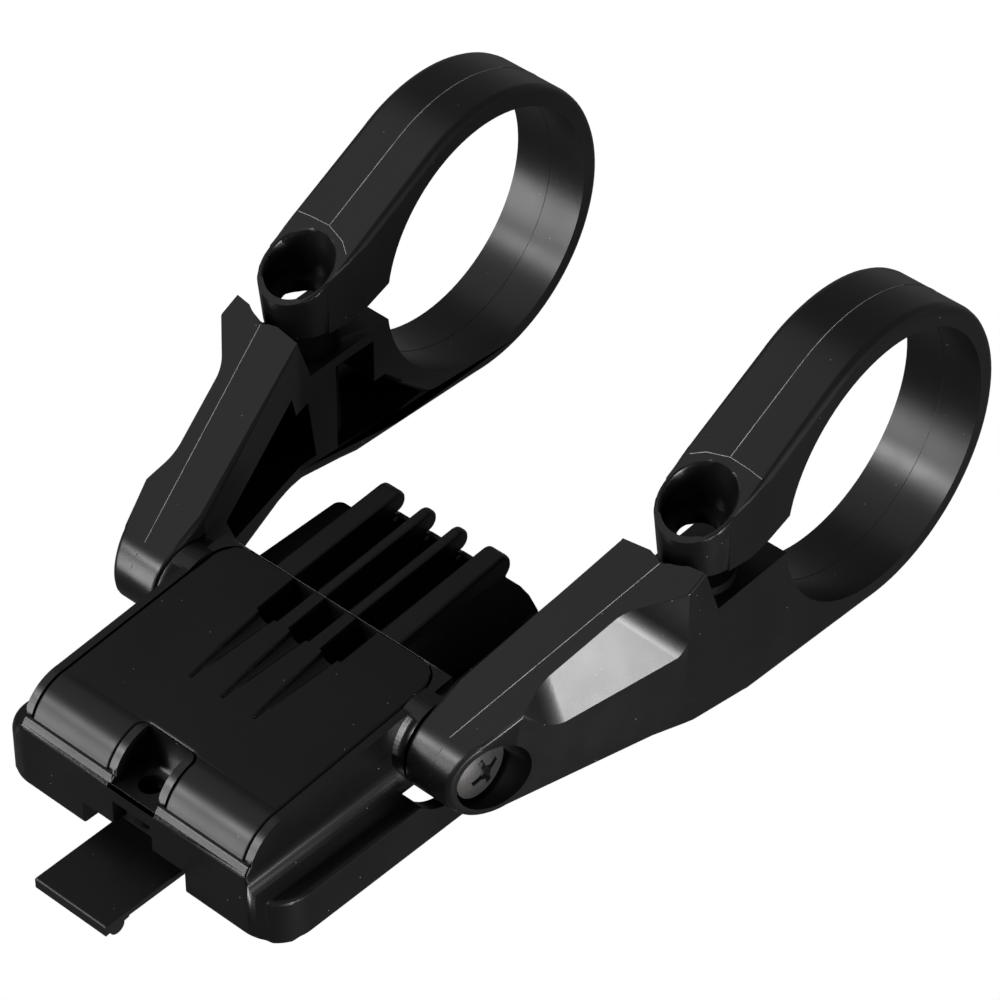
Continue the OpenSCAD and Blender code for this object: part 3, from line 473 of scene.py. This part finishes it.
def armSeamPaths(side):  # side is 1 on the right, -1 on the left
    def onStrap(x, y):
        slope = math.radians(armPlan["strapSlope"])
        return (side * x, y, (armPlan["ringR"] + y * math.sin(slope)) / math.cos(slope))

    def aboutBar(radius, turn):
        angle = math.radians(turn)
        return (side * armPlan["middle"], radius * math.cos(angle), radius * math.sin(angle))

    def onTop(share):  # from the rear end of the link's top to its front end
        x, y = (a + (b - a) * share for a, b in zip(seamSettings["topRear"], seamSettings["topFront"]))
        return (side * x, y, armTopZ(y))

    def roundTip(turn, share):
        angle = math.radians(turn)
        x = seamSettings["topFront"][0] - seamSettings["tipInward"] * share
        return (side * x, armPlan["pivotY"] + armPlan["endR"] * math.cos(angle),
                armPlan["pivotZ"] + armPlan["endR"] * math.sin(angle))

    ring = [onStrap(armPlan["middle"], y) for y in seamSettings["strapY"]]
    ring += [aboutBar(armPlan["ringR"], turn) for turn in range(*seamSettings["ringTurn"])]
    rear = [aboutBar(armPlan["ringR"], turn) for turn in range(*seamSettings["rearTurn"])]
    bore = [aboutBar(armPlan["boreR"], turn) for turn in range(*seamSettings["boreTurn"])]
    across = [onStrap(x, y) for x, y in seamSettings["across"]]
    top = [onTop(k / seamSettings["topParts"]) for k in range(seamSettings["topParts"] + 1)]
    tipTurns = range(*seamSettings["tipTurn"])
    tip = [roundTip(turn, k / len(tipTurns)) for k, turn in enumerate(tipTurns)]
    # first the paths that get the painted highlight, then those that stay plain black
    return [ring, across, top], [rear, bore, tip]


# seams on the faces towards the lamps are painted pale as a highlight; those at the rear, in the bore and
# round the tip stay plain black
for name, side in (("left", -1), ("right", 1)):
    bright, dark = armSeamPaths(side)
    seam(name + "_arm_seam", name + "_arm", "seamPaintedHighlight", bright)
    seam(name + "_arm_seam_rear", name + "_arm", "armNylon", dark)
print("mould seams laid")

# What the camera sees behind the part is white. Shiny and clear finishes see the same ground dimmed,
# because the photograph's studio was dark, and only the lamps shine in the black plastic.
groundSettings = {
    "seen": "#ffffff", "floorColour": "#f4f4f4",
    "worldGloss": 0.25, "floorGloss": 0.12, "worldLight": 0.25,
    "height": -900, "size": 6000,  # mm; far below, so that the part seems to float as in the photograph
}


def groundGlow(tree, inGloss):  # (how much the ray sees the glow, its strength)
    ray = addNode(tree, "ShaderNodeLightPath")
    clear = addNode(tree, "ShaderNodeMath",
                    {0: ray.outputs["Is Camera Ray"], 1: ray.outputs["Is Transmission Ray"]},
                    operation="MAXIMUM")
    sees = addNode(tree, "ShaderNodeMath", {0: clear.outputs[0], 1: ray.outputs["Is Glossy Ray"]},
                   operation="MAXIMUM")
    dimmed = addNode(tree, "ShaderNodeMath", {0: ray.outputs["Is Glossy Ray"]}, {1: inGloss},
                     operation="MULTIPLY")
    strength = addNode(tree, "ShaderNodeMath", {0: clear.outputs[0], 1: dimmed.outputs[0]},
                       operation="MAXIMUM")
    return sees.outputs[0], strength.outputs[0]


world = bpy.data.worlds.new("studio")
scene.world = world
world.use_nodes = True
worldTree = world.node_tree
worldTree.nodes.clear()
sees, strength = groundGlow(worldTree, groundSettings["worldGloss"])
dim = addNode(worldTree, "ShaderNodeBackground", sockets={"Strength": groundSettings["worldLight"]})
glow = addNode(worldTree, "ShaderNodeBackground", {"Strength": strength},
               {"Color": hexColour(groundSettings["seen"])})
mixed = addNode(worldTree, "ShaderNodeMixShader", {0: sees, 1: dim.outputs[0], 2: glow.outputs[0]})
addNode(worldTree, "ShaderNodeOutputWorld", {"Surface": mixed.outputs[0]})

bpy.ops.mesh.primitive_plane_add(size=groundSettings["size"] * mm,
                                 location=(0, 0, groundSettings["height"] * mm))
floor = bpy.context.object
floor.name = "floor"
floorMaterial, floorTree, floorShader = newMaterial(
    "paleFloor", {"Roughness": 0.9, "Base Color": hexColour(groundSettings["floorColour"])})
sees, strength = groundGlow(floorTree, groundSettings["floorGloss"])
glow = addNode(floorTree, "ShaderNodeEmission", {"Strength": strength},
               {"Color": hexColour(groundSettings["seen"])})
floorMix = addNode(floorTree, "ShaderNodeMixShader", {0: sees, 1: floorShader.outputs[0], 2: glow.outputs[0]})
floorTree.links.new(floorMix.outputs[0], floorTree.nodes["Material Output"].inputs["Surface"])
floor.data.materials.append(floorMaterial)
print("ground laid")

# Soft boxes: direction from the part, distance and size in mm, power in watts
lampAim = Vector((5, -35, -5)) * mm  # middle of the part
lamps = {
    "right": {"towards": (0.975, -0.20, -0.07), "away": 420, "size": (120, 160), "watts": 3.1},
    "frontTall": {"towards": (-0.53, -0.84, 0.08), "away": 1100, "size": (240, 640), "watts": 8.5},
    "frontHigh": {"towards": (-0.45, -0.69, 0.56), "away": 1100, "size": (190, 130), "watts": 6.5},
    "topLeft": {"towards": (-0.52, -0.10, 0.84), "away": 420, "size": (260, 260), "watts": 0.18},
}
for name, lampSettings in lamps.items():
    lamp = bpy.data.lights.new(name, "AREA")
    lamp.shape = "RECTANGLE"
    lamp.size, lamp.size_y = [side * mm for side in lampSettings["size"]]
    lamp.energy = lampSettings["watts"]
    holder = bpy.data.objects.new(name, lamp)
    direction = Vector(lampSettings["towards"]).normalized()
    holder.location = lampAim + direction * lampSettings["away"] * mm
    holder.rotation_euler = direction.to_track_quat("Z", "Y").to_euler()
    scene.collection.objects.link(holder)
print("lights placed")
